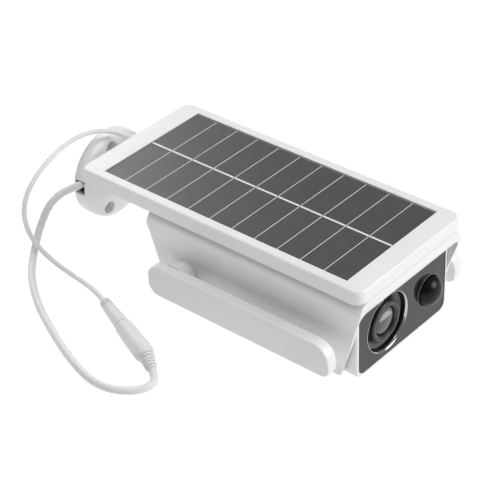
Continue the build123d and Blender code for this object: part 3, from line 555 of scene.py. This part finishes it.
def lens_pieces():
    """From the window inwards: rim, well, cone, focus barrel, retaining ring, baffle and both elements."""
    eye = axis_of("lens_ring")
    rim = [(17.7, 1.8), (17.7, -0.1), (17.5, -0.2), (17.0, 0.4), (16.6, 1.8)]
    rim = ring("lens_rim", rim, eye, "lens_trim", edge=0.05)
    well = [(16.6, 1.0), (16.45, 3.4), (16.45, 5), (17.6, 5), (17.6, 2), (16.6, 2)]
    well = ring("lens_well", well, eye, "lens_black")
    cone = [(16.45, 3.3), (12.4, 6.2), (12.4, 7), (16.45, 7)]
    cone = ring("lens_cone", cone, eye, "cone_grey", edge=0.3)
    groove = ((0, 0), (0.3, 0.3), (0, 0.6))
    grooves = [(12.0 - sunk, far - step) for far in (5.6, 4.2, 2.8) for sunk, step in groove]
    barrel = [(12.0, 9)] + grooves + [(12.0, 1.2), (11.5, 0.7), (10.6, 0.7), (10.6, 9)]
    barrel = ring("focus_barrel", barrel, eye, "lens_black", edge=0.1)
    face = [(11.4, 0.75), (11.3, 0.45), (9.9, 0.45), (9.6, 0.7), (9.6, 1.4), (11.4, 1.4)]
    face = ring("retaining_ring", face, eye, "retainer_grey")
    bevel = [
        (9.6, 0.8), (8.9, 1.0), (8.2, 2.2), (8.2, 3.4), (7.2, 3.6), (7.0, 4.6), (5.9, 4.8), (5.7, 5.8),
        (4.5, 6.0), (4.3, 7.2), (3.4, 7.4), (3.2, 8.6), (3.2, 9.4), (9.6, 9.4),
    ]
    bevel = ring("lens_baffle", bevel, eye, "baffle_black", edge=0.08)
    front = piece("front_element", element(8.15, 1.5, 1.0, 3.2, 10, eye), FINISHES["lens_glass"])
    rear = piece("rear_element", element(3.6, 0.8, 6.8, 8.2, 6, eye), FINISHES["iris_glass"])
    return [rim, well, cone, barrel, face, bevel, front, rear]


def sensor_pieces():
    """The black dome of the motion sensor and the thin ring round its foot."""
    low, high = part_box("motion_sensor_dome")
    place = axis_of("motion_sensor_dome")
    radius, reach = (high.x - low.x) * 500, (place.y - low.y) * 1000
    quarter = [math.radians(90 * i / 16) for i in range(17)]
    dome = [(radius * math.sin(t), -reach * math.cos(t)) for t in quarter] + [(radius, 3), (0, 3)]
    dome = piece("sensor_dome", turned(dome, place), FINISHES["sensor_dome"])
    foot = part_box("motion_sensor_ring")
    outer, inner = (foot[1].x - foot[0].x) * 500 - 1, radius + 0.12
    clear = [(inner, 2), (inner, -0.2), (radius + 0.3, -0.3), (outer, -0.05), (outer, 2)]
    return dome, ring("sensor_ring", clear, place, "sensor_trim")


# ---------------------------------------------------------------- antennas

# In millimetres, and degrees for the droop of the right one.

NOSE, CHIN, HEEL = 10.2, 5.0, 7.4
ANTENNA_THICK = 7.0
DROOP = 3.0
BOSS_FOOT, BOSS_GAP = 10.6, 0.2


def antenna(name, side, droop):
    """A flat paddle with a slanted nose, and the conical boss that it turns on."""
    low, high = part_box("antenna_left")
    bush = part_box("antenna_bushes")
    hinge = Vector((low.x, (bush[0].y + bush[1].y) / 2, (bush[0].z + bush[1].z) / 2))
    inner = low.x + mm(ANTENNA_THICK)
    bm = slab(low, (inner, high.y, high.z))
    front, rear = [(low.y, high.z, NOSE), (low.y, low.z, CHIN)], [(high.y, z, HEEL) for z in (high.z, low.z)]
    for y, z, radius in front + rear:
        corner = [e for e in running(bm, 0) if (e.verts[0].co.yz - Vector((y, z))).length < 1e-5]
        soften(bm, corner, radius, 14)
    soften(bm, level(bm, 0, low.x), 0.9, 4)
    soften(bm, level(bm, 0, inner), 0.5, 3)
    reach = (bush[0].x - inner) * 1000 - BOSS_GAP
    flare = [(BOSS_FOOT, -0.6), (9.9, 0.15), (9.3, 0.9), (8.8, 2.2), (8.3, reach - 0.6), (7.8, reach)]
    boss = [(0, -1), (BOSS_FOOT, -1)] + flare + [(0, reach)]
    turned(boss, (inner, hinge.y, hinge.z), along=(1, 0, 0), bm=bm)
    if side > 0:
        bmesh.ops.scale(bm, vec=(-1, 1, 1), verts=bm.verts)
    turn = Matrix.Rotation(math.radians(droop), 4, "X")
    stand = Matrix.Translation((0, hinge.y, hinge.z))
    bmesh.ops.transform(bm, matrix=stand @ turn @ stand.inverted(), verts=bm.verts)
    return piece(name, bm, FINISHES["white_housing"])


# ---------------------------------------------------------------- leads
# The routes are in millimetres, as the leads lie on the table.

PANEL_LEAD_ROUTE = [
    (0, 89.5, 56.8), (-0.3, 96.15, 57.1), (-4.2, 102.75, 58.7), (-12.2, 108.55, 59.7),
    (-21.8, 112.45, 58.5), (-32.8, 114.15, 55.7), (-44.6, 114.35, 51.6), (-54.8, 113.75, 46.6),
    (-62.6, 112.75, 40.2), (-67, 111.55, 31.8), (-68, 109.35, 23.2), (-67.4, 105.75, 15.6),
    (-66.3, 99.75, 9.2), (-65.3, 91.15, 4.6), (-65, 80.75, 2), (-66.2, 69.75, 2), (-69.2, 59.95, 3.9),
    (-72.9, 50.35, 5.9), (-76.4, 41.6, 6.5),
]
CAMERA_LEAD_ROUTE = [
    (-22, 106.85, 30.5), (-31.6, 107.05, 32), (-40.8, 108.75, 31.9), (-48.6, 110.25, 27.6),
    (-54.8, 110.35, 20.4), (-60.2, 109.65, 13.2), (-65.6, 107.55, 6.9), (-72.4, 103.15, 3.2),
    (-81, 94.95, 2.3), (-90.2, 83.15, 2.25), (-99.4, 68.95, 2.25), (-107.6, 53.15, 2.3),
    (-115.2, 36.95, 2.25), (-121.4, 21.55, 2.3), (-125.6, 7.55, 2.25), (-126.6, -3.25, 2.25),
    (-123.6, -13.85, 2.3), (-117.2, -21.45, 2.25), (-110.3, -24.25, 2.4), (-104.7, -22.15, 3),
    (-101.7, -16.95, 4.1),
]


# ---------------------------------------------------------------- inline connector

JACK_RELIEF = (-97.2, -8.8, 6.5)
PLUG_LENGTH = 25.0


def ribs(start, stop, first, last, count, depth):
    """Profile points of a tapered sleeve with grooves cut round it."""
    points = []
    for i in range(count):
        for share, sunk in ((0.0, 0), (0.48, 0), (0.6, depth), (0.88, depth)):
            t = (i + share) / count
            points.append((first + (last - first) * t - sunk, start + (stop - start) * t))
    return points + [(last, stop)]


def connector():
    """The plug on the panel's lead, pushed into the jack on the camera's lead."""
    start, end, tip = mm(*PANEL_LEAD_ROUTE[-1]), mm(*JACK_RELIEF), mm(*CAMERA_LEAD_ROUTE[-1])
    along, back = (end - start).normalized(), (tip - end).normalized()
    length = (end - start).length * 1000
    plug = [(0, 0), (2.5, 0), (2.95, 0.5), (3.0, 1.3)] + ribs(1.5, 5.7, 3.05, 3.35, 3, 0.8)
    plug += [(3.35 + 1.0 * t / 6, 6.2 + (PLUG_LENGTH - 6.5) * t / 6) for t in range(7)]
    plug += [(3.7, PLUG_LENGTH - 0.1), (3.7, PLUG_LENGTH), (0, PLUG_LENGTH)]
    mouth, last = PLUG_LENGTH + 0.3, length - 3
    jack = [(0, mouth), (3.7, mouth), (4.6, mouth + 0.35), (4.85, mouth + 0.8)]
    swell = [(t / 8, 0.6 * math.sin(math.pi / 2 * t / 8)) for t in range(9)]
    jack += [(4.9 + rise, mouth + 1 + (last - mouth - 1) * share) for share, rise in swell]
    tail = [math.pi / 2 * t / 6 for t in range(1, 6)]
    jack += [(3.5 + 2.0 * math.cos(t), last + 3 * math.sin(t)) for t in tail] + [(0, length)]
    sleeve_end = (tip - end).length * 1000
    sleeve = [(0, -2.5), (4.4, -2.5), (4.5, -1)] + ribs(-0.6, sleeve_end - 0.8, 4.45, 3.15, 5, 1.1)
    sleeve += [(2.7, sleeve_end), (0, sleeve_end)]
    plug, jack = turned(plug, start, along, 48), turned(jack, start, along, 48)
    turned(sleeve, end, back, 48, bm=jack)
    for bm in (plug, jack):
        soften(bm, sharp(bm, 40), 0.12, 2)
    jacket = FINISHES["white_lead"]
    return piece("plug_moulding", plug, jacket), piece("jack_moulding", jack, jacket)


def lead(name, route, diameter):
    """A lead along its route, and the points of its centre line."""
    points = spline_points(route)
    return piece(name, rings_along(points, [mm(diameter) / 2] * len(points)), FINISHES["white_lead"]), points


PANEL_LEAD, PANEL_LINE = lead("panel_lead_jacket", PANEL_LEAD_ROUTE, 2.8)
CAMERA_LEAD, CAMERA_LINE = lead("camera_lead_jacket", CAMERA_LEAD_ROUTE, 4.4)


# ---------------------------------------------------------------- what each piece rides on


def fit(made, body, slot, *nodes):
    """Sets the body of a finished piece and hides the nodes that it replaces; the slot argument is not used."""
    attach(made, body)
    if nodes:
        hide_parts(*nodes)


LAMINATE, CELLS = solar_cells()
fit(solar_tray(), "camera_head", "white_housing", "panel_tray")
fit(LAMINATE, "camera_head", "panel_backing", "panel_backing")
fit(CELLS, "camera_head", "solar_cell", "solar_cells", "panel_cover_sheet")
fit(cell_ribbons(), "camera_head", "cell_ribbon", "cell_ribbons")
# The grey band on the window's wall is painted shade.
fit(painted_shade_bead(), "camera_head", "panel_backing")
fit(hood(), "camera_head", "white_housing", "hood")
LENS_FITS = [
    ("lens_trim", "lens_ring"), ("lens_black", "lens_cup"), ("retainer_grey",), ("lens_black", "lens_barrel"),
    ("retainer_grey", "lens_retainer"), ("lens_black",), ("lens_glass", "lens_front_element"),
    ("lens_glass", "lens_rear_element"),
]
for made, slot_and_node in zip(lens_pieces(), LENS_FITS):
    fit(made, "camera_head", *slot_and_node)
DOME, DOME_RING = sensor_pieces()
fit(DOME, "camera_head", "sensor_dome", "motion_sensor_dome")
fit(DOME_RING, "camera_head", "sensor_trim", "motion_sensor_ring")
fit(antenna("left_paddle", -1, 0), "left_antenna", "white_housing", "antenna_left")
fit(antenna("right_paddle", 1, DROOP), "right_antenna", "white_housing", "antenna_right")
PLUG, JACK = connector()
fit(PLUG, "bracket_arm", "white_lead", "dc_plug_body")
fit(JACK, "bracket_arm", "white_lead", "dc_jack_body")
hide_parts("panel_lead")
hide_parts("camera_lead")

# ---------------------------------------------------------------- setting

VIEW_DISTANCE = 0.9594
VIEW_TARGET = Vector((-0.01317, -0.00701, 0.030))
VIEW_HEADING, VIEW_DROP, VIEW_ROLL = 48.542, 34.917, -2.261
LENS_LENGTH, SENSOR_WIDTH = 128.54, 36
LAMP_AIM = Vector((0, 0, 0.03))


def camera():
    data = bpy.data.cameras.new("camera")
    data.lens, data.sensor_width = LENS_LENGTH, SENSOR_WIDTH
    data.clip_start, data.clip_end = 0.05, 20
    eye = bpy.data.objects.new("camera", data)
    heading, drop = math.radians(VIEW_HEADING), math.radians(VIEW_DROP)
    ahead = Vector((math.sin(heading) * math.cos(drop), math.cos(heading) * math.cos(drop), -math.sin(drop)))
    aim = ahead.to_track_quat("-Z", "Y").to_matrix().to_4x4()
    roll = Matrix.Rotation(math.radians(VIEW_ROLL), 4, "Z")
    eye.matrix_world = Matrix.Translation(VIEW_TARGET - ahead * VIEW_DISTANCE) @ aim @ roll
    bpy.context.scene.collection.objects.link(eye)
    bpy.context.scene.camera = eye


def lamp(name, place, size, power):
    """A round softbox that faces the object: its size in metres and its power in watts."""
    data = bpy.data.lights.new(name, "AREA")
    data.shape, data.size, data.energy = "DISK", size, power
    light = bpy.data.objects.new(name, data)
    facing = (LAMP_AIM - Vector(place)).to_track_quat("-Z", "Y").to_matrix().to_4x4()
    light.matrix_world = Matrix.Translation(place) @ facing
    bpy.context.scene.collection.objects.link(light)


def floor():
    """The white ground just below the object."""
    bm = bmesh.new()
    bmesh.ops.create_grid(bm, x_segments=1, y_segments=1, size=6)
    bmesh.ops.translate(bm, vec=(0, 0, CAD_BOX[0][2] - mm(0.2)), verts=bm.verts)
    glow = {"Emission_Color": (1, 1, 1, 1), "Emission_Strength": 0.97}
    piece("floor", bm, plain("white_sweep", (0.05, 0.05, 0.05), 0.9, **glow))


def setting():
    scene = bpy.context.scene
    scene.view_settings.view_transform = "Standard"
    scene.world = bpy.data.worlds.new("studio")
    scene.world.use_nodes = True
    background = scene.world.node_tree.nodes["Background"]
    background.inputs["Color"].default_value = (1, 1, 1, 1)
    background.inputs["Strength"].default_value = 0.18
    lamp("front_softbox", (0.8, -1.5, 0.9), 1.2, 23.5)
    lamp("rear_softbox", (0.55, 1.3, 0.75), 1.0, 9)
    lamp("top_softbox", (-0.35, 0.1, 1.7), 1.2, 14.5)
    camera()
    floor()


setting()

# ---------------------------------------------------------------- the leads baked into place

mm(0, 91, 57)
mm(-9, 106.5, 59.4)
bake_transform(PANEL_LEAD)
mm(-26, 107, 31)
mm(-81, 95, 3)
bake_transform(CAMERA_LEAD)
mm(*PANEL_LEAD_ROUTE[0])
mm(*CAMERA_LEAD_ROUTE[0])
